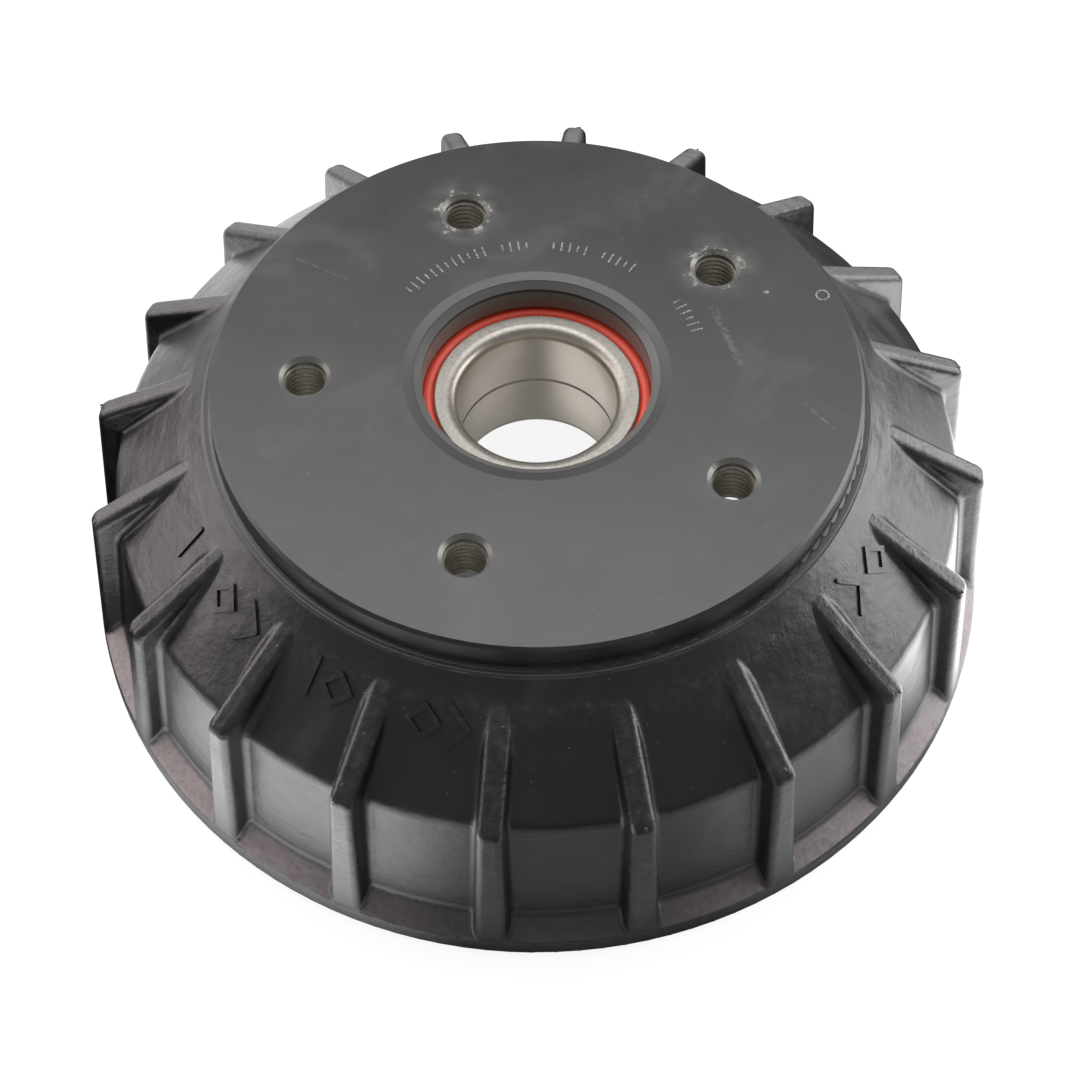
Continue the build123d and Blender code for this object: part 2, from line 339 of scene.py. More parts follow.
halo_tone = add(
    casting, "Mix", {"data_type": "RGBA"}, {0: halo, 6: speck_tone, 7: linear("4a4947")}
).outputs[2]
scuff_part = add(casting, "Math", {"operation": "MULTIPLY"}, {0: scuffed, 1: 0.60})
scuff_tone = add(
    casting, "Mix", {"data_type": "RGBA"}, {0: scuff_part, 6: halo_tone, 7: linear("4e4d4b")}
).outputs[2]
# in the hub mouth's lip the slopes are painted lighter than the flat ring: painted light on one paint
lip_flat = add(casting, "MapRange", {}, {"Value": facing_up, "From Min": 0.93, "From Max": 0.98})
lip_paint_with_lit_slopes = add(
    casting, "Mix", {"data_type": "RGBA"}, {0: lip_flat, 6: linear("31302f"), 7: linear("1f1f20")}
).outputs[2]
# a near-black line at the crease between the flat ring and the slope: painted shade
lip_crease_painted_shade = add(casting, "Math", {"operation": "COMPARE"}, {0: radius, 1: lip_crease_radius, 2: 0.22 * mm})
lip_tone_with_crease_shade = add(
    casting, "Mix", {"data_type": "RGBA"}, {0: lip_crease_painted_shade, 6: lip_paint_with_lit_slopes, 7: linear("0c0c0d")}
).outputs[2]
lip_tone = add(casting, "Mix", {"data_type": "RGBA"}, {0: lip, 6: scuff_tone, 7: lip_tone_with_crease_shade}).outputs[2]
flake_tone = add(
    casting, "Mix", {"data_type": "RGBA"}, {0: flakes, 6: lip_tone, 7: linear("7b7973")}
).outputs[2]
iron_stain = add(
    casting, "TexNoise", {}, {"Vector": place, "Scale": 1 / (9 * mm), "Detail": 6.0, "Roughness": 0.6}
)
iron_rust = add(
    casting, "MapRange", {}, {"Value": iron_stain, "From Min": 0.50, "From Max": 0.75, "To Max": 0.6}
)
iron_clean = add(
    casting, "Mix", {"data_type": "RGBA"}, {0: iron_rust, 6: linear("a39e97"), 7: linear("6b4f3c")}
).outputs[2]
dulled = add(
    casting,
    "MapRange",
    {},
    {"Value": up, "From Min": dull_zone_foot, "From Max": dull_zone_foot + 2 * mm},
)
dull_iron = add(
    casting, "Mix", {"data_type": "RGBA"}, {0: hub_inside, 6: linear("5d5e59"), 7: linear("787670")}
).outputs[2]
iron_tone = add(
    casting, "Mix", {"data_type": "RGBA"}, {0: dulled, 6: iron_clean, 7: dull_iron}
).outputs[2]
bare = add(casting, "Math", {"operation": "MAXIMUM"}, {0: turned_all, 1: hole_edge})
# light grey dust on the flange top, drawn stronger at the left and right than at the front: real dust, with
# painted light from the side boxes
flange_flat = add(casting, "MapRange", {}, {"Value": facing_up, "From Min": 0.55, "From Max": 0.85})
flange_low = add(casting, "MapRange", {}, {"Value": up, "From Min": 14 * mm, "From Max": 11 * mm})
flange_grit = add(
    casting,
    "MapRange",
    {},
    {"Value": flake_grain, "From Min": 0.35, "From Max": 0.60, "To Min": 0.65, "To Max": 1.0},
)
# the share that grows towards the left and right is painted light, not dust
flange_reach = add(casting, "Math", {"operation": "ABSOLUTE"}, {0: east})
flange_painted_side_light = add(
    casting,
    "MapRange",
    {},
    {"Value": flange_reach, "From Min": 0.020, "From Max": 0.080, "To Min": 0.2, "To Max": 1.0},
)
flange_low_painted_light = add(casting, "Math", {"operation": "MULTIPLY"}, {0: flange_painted_side_light, 1: flange_low})
flange_top_painted_light = add(casting, "Math", {"operation": "MULTIPLY"}, {0: flange_flat, 1: flange_low_painted_light})
flange_dust_and_painted_light = add(casting, "Math", {"operation": "MULTIPLY"}, {0: flange_top_painted_light, 1: flange_grit})
dust_and_painted_light_tone = add(
    casting, "Mix", {"data_type": "RGBA"}, {0: flange_dust_and_painted_light, 6: flake_tone, 7: linear("988c8d")}
).outputs[2]
drum_colour = add(casting, "Mix", {"data_type": "RGBA"}, {0: bare, 6: dust_and_painted_light_tone, 7: iron_tone}).outputs[2]

# metal shows where the iron is bare, and a little where flakes lifted the paint
flake_metal = add(casting, "Math", {"operation": "MULTIPLY"}, {0: flakes, 1: 0.35})
bare_metal = add(casting, "MapRange", {}, {"Value": dulled, "To Min": 1.0, "To Max": 0.55})
bare_part = add(casting, "Math", {"operation": "MULTIPLY"}, {0: bare, 1: bare_metal})
drum_metal = add(casting, "Math", {"operation": "MAXIMUM"}, {0: bare_part, 1: flake_metal})
face_gloss = add(
    casting,
    "MapRange",
    {},
    {"Value": smudge, "From Min": 0.35, "From Max": 0.70, "To Min": 0.36, "To Max": 0.45},
)
cast_gloss = add(
    casting,
    "MapRange",
    {},
    {"Value": smudge, "From Min": 0.35, "From Max": 0.70, "To Min": 0.31, "To Max": 0.40},
)
plain_gloss = add(casting, "Mix", {"data_type": "FLOAT"}, {0: machined, 2: cast_gloss, 3: face_gloss})
skin_gloss = add(casting, "Mix", {"data_type": "FLOAT"}, {0: flange_dust_and_painted_light, 2: plain_gloss, 3: 0.75})
drum_gloss = add(casting, "Mix", {"data_type": "FLOAT"}, {0: bare, 2: skin_gloss, 3: 0.38})

# relief in metres: sand grain and soft waves on the cast skin, turning marks on what is machined
grain = add(
    casting, "TexNoise", {}, {"Vector": place, "Scale": 1 / (0.9 * mm), "Detail": 4.0, "Roughness": 0.6}
)
waves = add(casting, "TexNoise", {}, {"Vector": place, "Scale": 1 / (7 * mm), "Detail": 2.0})
ripples_per_metre = (110.0, 110.0, 620.0)
ripple_place = add(casting, "Mapping", {}, {"Vector": place, "Scale": ripples_per_metre})
ripple = add(casting, "TexNoise", {}, {"Vector": ripple_place, "Scale": 1.0, "Detail": 3.0})
grain_height = add(casting, "Math", {"operation": "MULTIPLY"}, {0: grain, 1: 0.06 * mm})
waves_height = add(
    casting, "Math", {"operation": "MULTIPLY_ADD"}, {0: waves, 1: 0.30 * mm, 2: grain_height}
)
ripple_height = add(
    casting, "Math", {"operation": "MULTIPLY_ADD"}, {0: ripple, 1: 0.08 * mm, 2: waves_height}
)
crest_pit = add(
    casting, "TexNoise", {}, {"Vector": place, "Scale": 1 / (1.5 * mm), "Detail": 3.0, "Roughness": 0.7}
)
crest_relief = add(casting, "Math", {"operation": "MULTIPLY"}, {0: crest_pit, 1: crest})
cast_height = add(
    casting, "Math", {"operation": "MULTIPLY_ADD"}, {0: crest_relief, 1: 0.15 * mm, 2: ripple_height}
)
turning_pitch = 0.5 * mm
turning_wave = add(
    casting, "Math", {"operation": "MULTIPLY"}, {0: radius, 1: 2 * math.pi / turning_pitch}
)
turning = add(casting, "Math", {"operation": "SINE"}, {0: turning_wave})
turning_height = add(casting, "Math", {"operation": "MULTIPLY"}, {0: turning, 1: 0.002 * mm})
flake_height = add(
    casting, "Math", {"operation": "MULTIPLY_ADD"}, {0: flakes, 1: -0.08 * mm, 2: turning_height}
)
smooth_zone = add(casting, "Math", {"operation": "MAXIMUM"}, {0: machined, 1: bare})
drum_height = add(
    casting, "Mix", {"data_type": "FLOAT"}, {0: smooth_zone, 2: cast_height, 3: flake_height}
)
drum_bump = add(casting, "Bump", {}, {"Height": drum_height, "Distance": 1.0, "Strength": 1.0})
drum_shader = add(
    casting,
    "BsdfPrincipled",
    {},
    {"Base Color": drum_colour, "Metallic": drum_metal, "Roughness": drum_gloss, "Normal": drum_bump},
)
add(casting, "OutputMaterial", {}, {"Surface": drum_shader})
finish_node("brake_drum", casting)

# The wheel-bolt threads: M12 x 1.5, tapped straight into the web after the holes are countersunk. Each is
# a ridge of bare iron that winds up the hole, dark with cutting oil in its valleys.
thread_pitch = 1.5 * mm
thread_turns = 8
thread_wall = 5.25 * mm
thread_ridge = 0.32 * mm
thread_start = 63.4 * mm
thread_half_width = 0.40 * thread_pitch
thread_steps = 32
bpy.ops.mesh.primitive_circle_add(
    vertices=4,
    radius=thread_half_width,
    location=(thread_wall, 0, thread_start),
    rotation=(math.pi / 2, 0, 0),
)
threads = bpy.context.object
threads.name = "wheel_bolt_threads"
threads.scale = (thread_ridge / thread_half_width, 1, 1)
bpy.ops.object.transform_apply()
winding = threads.modifiers.new("winding", "SCREW")
winding.axis = "Z"
winding.angle = 2 * math.pi
winding.screw_offset = thread_pitch
winding.iterations = thread_turns
winding.steps = thread_steps
winding.render_steps = thread_steps
winding.use_merge_vertices = False
bpy.ops.object.modifier_apply(modifier="winding")
bpy.ops.object.mode_set(mode="EDIT")
bpy.ops.mesh.select_all(action="SELECT")
bpy.ops.mesh.remove_doubles(threshold=0.001 * mm)
bpy.ops.mesh.fill_holes(sides=4)
bpy.ops.mesh.select_all(action="SELECT")
bpy.ops.mesh.normals_make_consistent(inside=False)
bpy.ops.object.mode_set(mode="OBJECT")
bpy.ops.object.shade_smooth_by_angle(angle=math.radians(50))
for hole in range(bolt_count):
    bolt = first_bolt + hole * bolt_step
    hole_thread = threads
    if hole < bolt_count - 1:
        hole_thread = threads.copy()
        hole_thread.data = threads.data.copy()
        bpy.context.collection.objects.link(hole_thread)
    hole_thread.location = (bolt_circle_radius * math.cos(bolt), bolt_circle_radius * math.sin(bolt), 0)
    hole_thread.select_set(True)
bpy.context.view_layer.objects.active = threads
bpy.ops.object.join()
bpy.ops.object.transform_apply()
threads = bpy.context.object
threads.name = "wheel_bolt_threads"
bpy.ops.object.select_all(action="DESELECT")

# Tapped grey iron: oily and dark, with bright torn crests.
tapped_iron = new_material("tapped_bare_iron")
tap_place = add(tapped_iron, "TexCoord").outputs["Object"]
tap_grain = add(
    tapped_iron, "TexNoise", {}, {"Vector": tap_place, "Scale": 1 / (0.8 * mm), "Detail": 4.0}
)
tap_tone = add(
    tapped_iron, "Mix", {"data_type": "RGBA"}, {0: tap_grain, 6: linear("6a655e"), 7: linear("c8c1b6")}
).outputs[2]
tap_gloss = add(tapped_iron, "MapRange", {}, {"Value": tap_grain, "To Min": 0.30, "To Max": 0.60})
tap_relief = add(tapped_iron, "Math", {"operation": "MULTIPLY"}, {0: tap_grain, 1: 0.05 * mm})
tap_bump = add(tapped_iron, "Bump", {}, {"Height": tap_relief, "Distance": 1.0, "Strength": 1.0})
tap_shader = add(
    tapped_iron,
    "BsdfPrincipled",
    {},
    {"Base Color": tap_tone, "Metallic": 0.85, "Roughness": tap_gloss, "Normal": tap_bump},
)
add(tapped_iron, "OutputMaterial", {}, {"Surface": tap_shader})
threads.data.materials.append(tapped_iron)
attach(threads, "drum")

# The peened marks: plain ticks that a pin has burst through the paint of the face, in arcs above the hub
# mouth and beside one hole. Each tick is a hair proud, where the iron rose round the pin. A group is the
# angle of its first tick, in degrees, and its number of ticks.
tick_width = 0.42 * mm
tick_length = 3.2 * mm
tick_height = 0.06 * mm
tick_bevel = 0.05 * mm
tick_circle = 41.3 * mm
tick_groups = [(140.0, 12), (102.0, 4), (84.0, 5), (66.0, 5), (33.0, 6)]
tick_step = 2.85
short_tick = 0.62
bpy.ops.mesh.primitive_cube_add(size=1.0)
tick = bpy.context.object
tick.scale = (tick_length, tick_width, 2 * tick_height)
bpy.ops.object.transform_apply()
bpy.ops.object.mode_set(mode="EDIT")
bpy.ops.mesh.select_all(action="SELECT")
bpy.ops.mesh.bevel(offset=tick_bevel, segments=1, affect="EDGES")
bpy.ops.object.mode_set(mode="OBJECT")
tick_marks = []
for group_start, group_ticks in tick_groups:
    for number in range(group_ticks):
        mark_angle = math.radians(group_start - number * tick_step)
        mark = tick.copy()
        mark.data = tick.data.copy()
        bpy.context.collection.objects.link(mark)
        mark.scale = (1.0 if number % 3 else short_tick, 1, 1)
        mark.rotation_euler = (0, 0, mark_angle)
        east_of_axis = tick_circle * math.cos(mark_angle)
        north_of_axis = tick_circle * math.sin(mark_angle)
        mark.location = (east_of_axis, north_of_axis, face_height)
        tick_marks.append(mark)
bpy.data.objects.remove(tick)
bpy.ops.object.select_all(action="DESELECT")
for mark in tick_marks:
    mark.select_set(True)
bpy.context.view_layer.objects.active = tick_marks[0]
bpy.ops.object.join()
bpy.ops.object.transform_apply()
peened_ticks = bpy.context.object
peened_ticks.name = "peened_ticks"
bpy.ops.object.select_all(action="DESELECT")

# Burst paint over iron: chalky light grey, matt, with dark gaps where the paint held.
burst_paint = new_material("burst_paint_over_iron")
burst_place = add(burst_paint, "TexCoord").outputs["Object"]
burst_grain = add(
    burst_paint, "TexNoise", {}, {"Vector": burst_place, "Scale": 1 / (0.5 * mm), "Detail": 3.0}
)
burst_cover = add(burst_paint, "MapRange", {}, {"Value": burst_grain, "From Min": 0.40, "From Max": 0.60})
burst_tone = add(
    burst_paint, "Mix", {"data_type": "RGBA"}, {0: burst_cover, 6: linear("3e3e3f"), 7: linear("858583")}
).outputs[2]
burst_shader = add(
    burst_paint, "BsdfPrincipled", {}, {"Base Color": burst_tone, "Metallic": 0.3, "Roughness": 0.55}
)
add(burst_paint, "OutputMaterial", {}, {"Surface": burst_shader})
peened_ticks.data.materials.append(burst_paint)
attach(peened_ticks, "drum")

# The inspector's stamps on the face: a small ring near the edge and a punch dot beside it, struck through
# the paint, each with a low rim of raised iron.
stamp_angle = math.radians(19.0)
stamp_circle = 74.9 * mm
stamp_radius = 1.55 * mm
stamp_rim = 0.24 * mm
stamp_flatness = 0.3
punch_angle = math.radians(24.0)
punch_circle = 62.4 * mm
punch_radius = 0.40 * mm
punch_rim = 0.26 * mm
punch_flatness = 0.4
bpy.ops.mesh.primitive_torus_add(
    major_radius=stamp_radius,
    minor_radius=stamp_rim,
    major_segments=40,
    minor_segments=8,
    location=(stamp_circle * math.cos(stamp_angle), stamp_circle * math.sin(stamp_angle), face_height),
)
stamp_ring = bpy.context.object
stamp_ring.scale = (1, 1, stamp_flatness)
bpy.ops.mesh.primitive_torus_add(
    major_radius=punch_radius,
    minor_radius=punch_rim,
    major_segments=20,
    minor_segments=8,
    location=(punch_circle * math.cos(punch_angle), punch_circle * math.sin(punch_angle), face_height),
)
punch_dot = bpy.context.object
punch_dot.scale = (1, 1, punch_flatness)
stamp_ring.select_set(True)
bpy.context.view_layer.objects.active = stamp_ring
bpy.ops.object.join()
bpy.ops.object.transform_apply()
face_stamps = bpy.context.object
face_stamps.name = "face_stamps"
bpy.ops.object.shade_smooth()
face_stamps.data.materials.append(burst_paint)
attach(face_stamps, "drum")
bpy.ops.object.select_all(action="DESELECT")

# Casting burrs: small lumps left by the sand along the crests of the ribs, thickest at the knee, under
# the same paint as the drum.
burr_seed = 7
burr_draw = random.Random(burr_seed)
crest_root = Vector((82.5 * mm, 0, 66.9 * mm))
crest_knee = Vector((knee_radius, 0, knee_height))
crest_slope = math.radians(30)
crest_half_width = 1.3 * mm
burrs_per_rib = 3
burr_reach = 0.75
burr_crowding = 1.6
burr_sizes = (0.30, 0.65)
burr_shape = (1.3, 1.0, 0.55)
burr_sunk = 0.25 * mm
bpy.ops.mesh.primitive_ico_sphere_add(subdivisions=2, radius=1.0 * mm)
burr = bpy.context.object
burr_copies = []
for rib in range(rib_count):
    rib_angle = first_rib + rib * 2 * math.pi / rib_count
    for _ in range(burrs_per_rib):
        along = 1.0 - burr_reach * burr_draw.random() ** burr_crowding
        crest_spot = crest_root.lerp(crest_knee, along)
        sideways = burr_draw.uniform(-crest_half_width, crest_half_width)
        copy = burr.copy()
        copy.data = burr.data.copy()
        bpy.context.collection.objects.link(copy)
        size = burr_draw.uniform(*burr_sizes)
        squashed = Matrix.Diagonal([size * part for part in burr_shape] + [1])
        spot = Matrix.Translation((crest_spot.x, sideways, crest_spot.z - burr_sunk))
        lean = Matrix.Rotation(crest_slope, 4, "Y")
        copy.matrix_world = Matrix.Rotation(rib_angle, 4, "Z") @ spot @ lean @ squashed
        burr_copies.append(copy)
bpy.data.objects.remove(burr)
bpy.ops.object.select_all(action="DESELECT")
for copy in burr_copies:
    copy.select_set(True)
bpy.context.view_layer.objects.active = burr_copies[0]
bpy.ops.object.join()
bpy.ops.object.transform_apply()
casting_burrs = bpy.context.object
casting_burrs.name = "casting_burrs"
bpy.ops.object.shade_smooth()
casting_burrs.data.materials.append(casting)
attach(casting_burrs, "drum")
bpy.ops.object.select_all(action="DESELECT")

# The bearing's rings: hardened bearing steel, ground all over and polished in the bore, so the marks of the
# wheel run round the axis and the metal is bright. They are pressed in as one unit. The marks are drawn
# coarser than they are, so that they show.
grinding_width = 0.25 * mm
ground_steel = new_material("ground_bearing_steel")
ring_place = add(ground_steel, "TexCoord").outputs["Object"]
ring_axes = add(ground_steel, "SeparateXYZ", {}, {0: ring_place})
ring_flat = add(ground_steel, "CombineXYZ", {}, {0: ring_axes.outputs[0], 1: ring_axes.outputs[1]})
ring_radius = add(ground_steel, "VectorMath", {"operation": "LENGTH"}, {0: ring_flat}).outputs["Value"]
ring_way = add(ground_steel, "VectorMath", {"operation": "NORMALIZE"}, {0: ring_flat})
ring_way_axes = add(ground_steel, "SeparateXYZ", {}, {0: ring_way})
ring_level = add(ground_steel, "Math", {"operation": "ADD"}, {0: ring_radius, 1: ring_axes.outputs[2]})
ring_fine = add(ground_steel, "Math", {"operation": "MULTIPLY"}, {0: ring_level, 1: 1 / grinding_width})
ring_lines = add(
    ground_steel,
    "CombineXYZ",
    {},
    {0: ring_way_axes.outputs[0], 1: ring_way_axes.outputs[1], 2: ring_fine},
)
ring_grind = add(
    ground_steel, "TexNoise", {}, {"Vector": ring_lines, "Scale": 1.5, "Detail": 4.0, "Roughness": 0.7}
)
ring_gloss = add(
    ground_steel,
    "MapRange",
    {},
    {"Value": ring_grind, "From Min": 0.3, "From Max": 0.7, "To Min": 0.27, "To Max": 0.38},
)
ring_stain = add(
    ground_steel, "TexNoise", {}, {"Vector": ring_place, "Scale": 1 / (8 * mm), "Detail": 3.0}
)
ring_tone = add(
    ground_steel, "Mix", {"data_type": "RGBA"}, {0: ring_stain, 6: linear("cfc8be"), 7: linear("b6ada2")}
).outputs[2]
# the faces that look up are drawn darker and mottled: painted shade over the reflection of the box above,
# while faces that look down keep the bright tone
ring_normal = add(
    ground_steel, "SeparateXYZ", {}, {0: add(ground_steel, "NewGeometry").outputs["Normal"]}
).outputs[2]
ring_faces_up = add(ground_steel, "MapRange", {}, {"Value": ring_normal, "From Min": 0.45, "From Max": 0.85})
ring_top_mottle = add(
    ground_steel,
    "TexNoise",
    {},
    {"Vector": ring_place, "Scale": 1 / (0.9 * mm), "Detail": 4.0, "Roughness": 0.7},
)
ring_top_painted_shade_tone = add(
    ground_steel, "Mix", {"data_type": "RGBA"}, {0: ring_top_mottle, 6: linear("54524e"), 7: linear("97938c")}
).outputs[2]
ring_colour = add(
    ground_steel, "Mix", {"data_type": "RGBA"}, {0: ring_faces_up, 6: ring_tone, 7: ring_top_painted_shade_tone}
).outputs[2]
ring_skin = add(ground_steel, "Mix", {"data_type": "FLOAT"}, {0: ring_faces_up, 2: ring_gloss, 3: 0.42})
ring_relief = add(ground_steel, "Math", {"operation": "MULTIPLY"}, {0: ring_grind, 1: 0.004 * mm})
ring_bump = add(ground_steel, "Bump", {}, {"Height": ring_relief, "Distance": 1.0, "Strength": 1.0})
ring_shader = add(
    ground_steel,
    "BsdfPrincipled",
    {},
    {"Base Color": ring_colour, "Metallic": 1.0, "Roughness": ring_skin, "Normal": ring_bump},
)
add(ground_steel, "OutputMaterial", {}, {"Surface": ring_shader})
for ring in ("bearing_outer_ring", "inner_ring_outboard", "inner_ring_inboard"):
    finish_node(ring, ground_steel)

# The seals' rubber: orange-red nitrile, moulded and cured on the pressed ring, with a soft sheen and
# a fine matt grain from the mould.
seal_rubber = new_material("orange_red_nitrile_rubber")
rubber_place = add(seal_rubber, "TexCoord").outputs["Object"]
rubber_grain = add(
    seal_rubber, "TexNoise", {}, {"Vector": rubber_place, "Scale": 1 / (0.6 * mm), "Detail": 3.0}
)
rubber_tone = add(
    seal_rubber, "Mix", {"data_type": "RGBA"}, {0: rubber_grain, 6: linear("c23a22"), 7: linear("a82e1c")}
).outputs[2]
rubber_gloss = add(seal_rubber, "MapRange", {}, {"Value": rubber_grain, "To Min": 0.38, "To Max": 0.58})
rubber_relief = add(seal_rubber, "Math", {"operation": "MULTIPLY"}, {0: rubber_grain, 1: 0.02 * mm})
rubber_bump = add(seal_rubber, "Bump", {}, {"Height": rubber_relief, "Distance": 1.0, "Strength": 1.0})
rubber_shader = add(
    seal_rubber,
    "BsdfPrincipled",
    {},
    {"Base Color": rubber_tone, "Roughness": rubber_gloss, "Normal": rubber_bump},
)
add(seal_rubber, "OutputMaterial", {}, {"Surface": rubber_shader})
for rubber in ("seal_rubber_outboard", "seal_rubber_inboard"):
    finish_node(rubber, seal_rubber)

# The balls: chrome steel, headed from wire, hardened, ground and lapped until they mirror. Grease smears
# them, so the mirror is broken in patches.
lapped_steel = new_material("lapped_chrome_steel")
ball_place = add(lapped_steel, "TexCoord").outputs["Object"]
grease = add(
    lapped_steel,
    "TexNoise",
    {},
    {"Vector": ball_place, "Scale": 1 / (3 * mm), "Detail": 3.0, "Distortion": 0.5},
)
grease_patch = add(
    lapped_steel,
    "MapRange",
    {"interpolation_type": "SMOOTHSTEP"},
    {"Value": grease, "From Min": 0.45, "From Max": 0.62},
)
ball_tone = add(
    lapped_steel,
    "Mix",
    {"data_type": "RGBA"},
    {0: grease_patch, 6: linear("dcdbd8"), 7: linear("b3a98c")},
).outputs[2]
ball_gloss = add(lapped_steel, "MapRange", {}, {"Value": grease_patch, "To Min": 0.06, "To Max": 0.28})
ball_shader = add(
    lapped_steel,
    "BsdfPrincipled",
    {},
    {"Base Color": ball_tone, "Metallic": 1.0, "Roughness": ball_gloss},
)
add(lapped_steel, "OutputMaterial", {}, {"Surface": ball_shader})
for row in ("balls_outboard", "balls_inboard"):
    finish_node(row, lapped_steel)

# The cages: glass-filled nylon, injection moulded in one shot and snapped over the balls. The surface is
# cream, a little translucent, with short glass fibres just under the skin.
filled_nylon = new_material("glass_filled_nylon")
cage_place = add(filled_nylon, "TexCoord").outputs["Object"]
fibre_place = add(filled_nylon, "Mapping", {}, {"Vector": cage_place, "Scale": (1.0, 1.0, 0.25)})
fibre = add(
    filled_nylon,
    "TexNoise",
    {},
    {"Vector": fibre_place, "Scale": 1 / (0.35 * mm), "Detail": 3.0, "Roughness": 0.7},
)
cage_tone = add(
    filled_nylon, "Mix", {"data_type": "RGBA"}, {0: fibre, 6: linear("d8cfae"), 7: linear("b8ab84")}
).outputs[2]
cage_gloss = add(filled_nylon, "MapRange", {}, {"Value": fibre, "To Min": 0.34, "To Max": 0.56})
cage_relief = add(filled_nylon, "Math", {"operation": "MULTIPLY"}, {0: fibre, 1: 0.01 * mm})
cage_bump = add(filled_nylon, "Bump", {}, {"Height": cage_relief, "Distance": 1.0, "Strength": 1.0})
cage_shader = add(
    filled_nylon,
    "BsdfPrincipled",
    {},
    {"Base Color": cage_tone, "Roughness": cage_gloss, "Normal": cage_bump},
)
add(filled_nylon, "OutputMaterial", {}, {"Surface": cage_shader})
for cage in ("cage_outboard", "cage_inboard"):
    finish_node(cage, filled_nylon)

# The seals' shields: cold-rolled steel, blanked and pressed to a stepped ring, then phosphated so that the
# rubber bonds to it. Dark grey and fine-grained, with draw lines round the axis.
phosphated_steel = new_material("phosphated_pressed_steel")
shield_place = add(phosphated_steel, "TexCoord").outputs["Object"]
crystal = add(phosphated_steel, "TexVoronoi", {}, {"Vector": shield_place, "Scale": 1 / (0.30 * mm)})
shield_cloud = add(
    phosphated_steel, "TexNoise", {}, {"Vector": shield_place, "Scale": 1 / (6 * mm), "Detail": 4.0}
)
shield_shade = add(phosphated_steel, "Math", {"operation": "MULTIPLY"}, {0: crystal, 1: shield_cloud})
shield_tone = add(
    phosphated_steel,
    "Mix",
    {"data_type": "RGBA"},
    {0: shield_shade, 6: linear("4b4c4e"), 7: linear("7d7e7f")},
).outputs[2]
shield_gloss = add(
    phosphated_steel, "MapRange", {}, {"Value": shield_cloud, "To Min": 0.38, "To Max": 0.58}
)
shield_relief = add(phosphated_steel, "Math", {"operation": "MULTIPLY"}, {0: crystal, 1: 0.010 * mm})
shield_bump = add(
    phosphated_steel, "Bump", {}, {"Height": shield_relief, "Distance": 1.0, "Strength": 1.0}
)
shield_shader = add(
    phosphated_steel,
    "BsdfPrincipled",
    {},
    {"Base Color": shield_tone, "Metallic": 0.8, "Roughness": shield_gloss, "Normal": shield_bump},
)
add(phosphated_steel, "OutputMaterial", {}, {"Surface": shield_shader})
for shield in ("seal_shield_outboard", "seal_shield_inboard"):
    finish_node(shield, phosphated_steel)

# The circlip and the rings' clip: spring steel strip, punched or coiled, hardened and oiled black. The
# edges are rubbed bright, and the oil leaves a brown cast.
spring_steel = new_material("oiled_black_spring_steel")
clip_place = add(spring_steel, "TexCoord").outputs["Object"]
clip_cloud = add(
    spring_steel,
    "TexNoise",
    {},
    {"Vector": clip_place, "Scale": 1 / (4 * mm), "Detail": 5.0, "Roughness": 0.65},
)
clip_rub = add(spring_steel, "MapRange", {}, {"Value": clip_cloud, "From Min": 0.52, "From Max": 0.70})
clip_tone = add(
    spring_steel, "Mix", {"data_type": "RGBA"}, {0: clip_rub, 6: linear("2c2a29"), 7: linear("77716a")}
).outputs[2]
clip_gloss = add(spring_steel, "MapRange", {}, {"Value": clip_cloud, "To Min": 0.24, "To Max": 0.42})
clip_relief = add(spring_steel, "Math", {"operation": "MULTIPLY"}, {0: clip_cloud, 1: 0.02 * mm})
clip_bump = add(spring_steel, "Bump", {}, {"Height": clip_relief, "Distance": 1.0, "Strength": 1.0})
clip_shader = add(
    spring_steel,
    "BsdfPrincipled",
    {},
    {"Base Color": clip_tone, "Metallic": 0.9, "Roughness": clip_gloss, "Normal": clip_bump},
)
add(spring_steel, "OutputMaterial", {}, {"Surface": clip_shader})
for clip in ("bearing_circlip", "inner_ring_clip"):
    finish_node(clip, spring_steel)

# The floor: a plain white lit table, which the part stands on. The eye sees it evenly white, and the light
# that it gives the part comes from patches round it and under the hub. It is clear from below, so that the
# underside can be looked at. A patch is its angle, in degrees, and its glow.
floor_size = 6.0
floor_gap = 0.1 * mm
bpy.ops.mesh.primitive_plane_add(size=floor_size, location=(0, 0, cad_box[0].z - floor_gap))
floor = bpy.context.object
floor.name = "floor"
glow_under_hub = 0.26
glow_under_left = 0.85
glow_under_right = 0.35
glow_behind = 3.0
seen_glow = 0.90
glow_patches = [(230.0, 3.9), (272.0, 0.6), (320.0, 1.4), (0.0, 6.3), (135.0, 2.1)]
patch_core = math.radians(11.25)
patch_edge = math.radians(33.75)
table = new_material("white_lit_table")
table_place = add(table, "TexCoord").outputs["Object"]
table_axes = add(table, "SeparateXYZ", {}, {0: table_place})
table_radius = add(table, "VectorMath", {"operation": "LENGTH"}, {0: table_place}).outputs["Value"]
table_angle = add(
    table, "Math", {"operation": "ARCTAN2"}, {0: table_axes.outputs[1], 1: table_axes.outputs[0]}
)
smooth = {"interpolation_type": "SMOOTHSTEP"}
hub_glow = glow_under_hub
for side, side_glow in ((-1, glow_under_left), (1, glow_under_right)):
    side_share = add(
        table,
        "MapRange",
        smooth,
        {
            "Value": table_axes.outputs[0],
            "From Min": side * 8 * mm,
            "From Max": side * 24 * mm,
            "To Max": side_glow,
        },
    )
    hub_glow = add(table, "Math", {"operation": "ADD"}, {0: side_share, 1: hub_glow})
under_drum = add(
    table,
    "MapRange",
    smooth,
    {"Value": table_radius, "From Min": 0.095, "From Max": 0.115, "To Min": 1.0, "To Max": 0.0},
)
table_glow = add(table, "Math", {"operation": "MULTIPLY"}, {0: hub_glow, 1: under_drum})
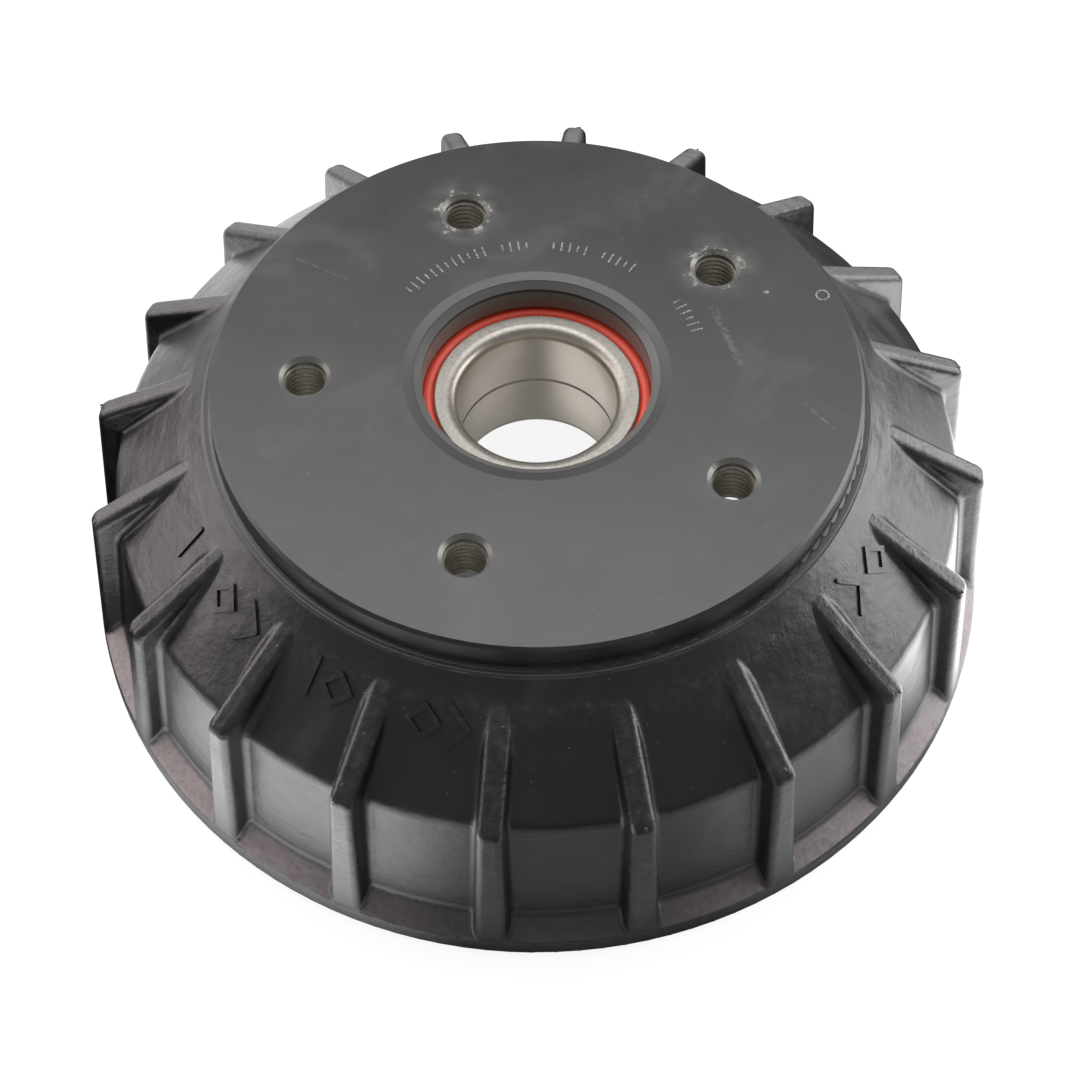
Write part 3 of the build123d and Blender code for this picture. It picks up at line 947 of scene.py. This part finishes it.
past_rim = add(table, "MapRange", smooth, {"Value": table_radius, "From Min": 0.112, "From Max": 0.130})
before_end = add(
    table,
    "MapRange",
    smooth,
    {"Value": table_radius, "From Min": 0.22, "From Max": 0.30, "To Min": 1.0, "To Max": 0.0},
)
patch_ring = add(table, "Math", {"operation": "MULTIPLY"}, {0: past_rim, 1: before_end})
for patch_angle, patch_glow in glow_patches:
    turned = add(
        table, "Math", {"operation": "ADD"}, {0: table_angle, 1: math.pi - math.radians(patch_angle)}
    )
    wrapped = add(table, "Math", {"operation": "FLOORED_MODULO"}, {0: turned, 1: 2 * math.pi})
    offset = add(table, "Math", {"operation": "SUBTRACT"}, {0: wrapped, 1: math.pi})
    away = add(table, "Math", {"operation": "ABSOLUTE"}, {0: offset})
    share = add(
        table,
        "MapRange",
        smooth,
        {
            "Value": away,
            "From Min": patch_core,
            "From Max": patch_edge,
            "To Min": patch_glow,
            "To Max": 0.0,
        },
    )
    table_glow = add(
        table, "Math", {"operation": "MULTIPLY_ADD"}, {0: share, 1: patch_ring, 2: table_glow}
    )
behind = add(
    table,
    "MapRange",
    smooth,
    {"Value": table_axes.outputs[1], "From Min": 0.30, "From Max": 0.60, "To Max": glow_behind},
)
far_side = add(table, "Math", {"operation": "ABSOLUTE"}, {0: table_axes.outputs[0]})
behind_only = add(
    table,
    "MapRange",
    smooth,
    {"Value": far_side, "From Min": 0.35, "From Max": 0.80, "To Min": 1.0, "To Max": 0.0},
)
table_glow = add(table, "Math", {"operation": "MULTIPLY_ADD"}, {0: behind, 1: behind_only, 2: table_glow})
table_lamp = add(table, "Emission", {}, {"Color": linear("ffffff"), "Strength": table_glow})
table_white = add(table, "Emission", {}, {"Color": linear("ffffff"), "Strength": seen_glow})
table_matt = add(table, "BsdfDiffuse", {}, {"Color": linear("636363")})
table_seen = add(table, "AddShader", {}, {0: table_white, 1: table_matt})
table_eye = add(table, "LightPath").outputs["Is Camera Ray"]
table_top = add(table, "MixShader", {}, {0: table_eye, 1: table_lamp, 2: table_seen})
table_clear = add(table, "BsdfTransparent")
table_back = add(table, "NewGeometry").outputs["Backfacing"]
table_mix = add(table, "MixShader", {}, {0: table_back, 1: table_top, 2: table_clear})
add(table, "OutputMaterial", {}, {"Surface": table_mix})
floor.data.materials.append(table)

# The studio: white walls for the eye, dim for the light they give, and soft boxes above, at both sides and
# low behind the part.
wall_glow = 0.36
world = bpy.data.worlds.new("studio")
bpy.context.scene.world = world
world.use_nodes = True
world.node_tree.nodes.clear()
wall_seen = add(world, "LightPath").outputs["Is Camera Ray"]
wall_strength = add(world, "MapRange", {}, {"Value": wall_seen, "To Min": wall_glow, "To Max": 1.0})
wall_light = add(world, "Background", {}, {"Color": linear("ffffff"), "Strength": wall_strength})
add(world, "OutputWorld", {}, {"Surface": wall_light})


def soft_box(name, location, width, depth, brightness, colour="ffffff"):
    """A soft box of that size and surface brightness, aimed at the part."""
    aim = Vector((0, 0, face_height)) - Vector(location)
    turn = aim.to_track_quat("-Z", "Y").to_euler()
    bpy.ops.object.light_add(type="AREA", location=location, rotation=turn)
    box = bpy.context.object
    box.name = name
    box.data.shape = "RECTANGLE"
    box.data.size = width
    box.data.size_y = depth
    box.data.energy = brightness * 4 * width * depth
    box.data.color = linear(colour)[:3]


soft_box("soft_box_above", (0.0, 0.31, 1.03), 1.1, 0.62, 4.6)
soft_box("soft_box_right", (1.05, 0.30, 0.32), 1.0, 0.62, 5.8)
soft_box("soft_box_left", (-1.05, 0.28, 0.32), 1.0, 0.62, 3.0, "fff1f0")
soft_box("soft_box_back_left", (-0.75, 0.60, 0.75), 0.7, 0.5, 3.8)
soft_box("soft_box_behind", (0.0, 1.25, 0.17), 2.6, 0.42, 2.4)
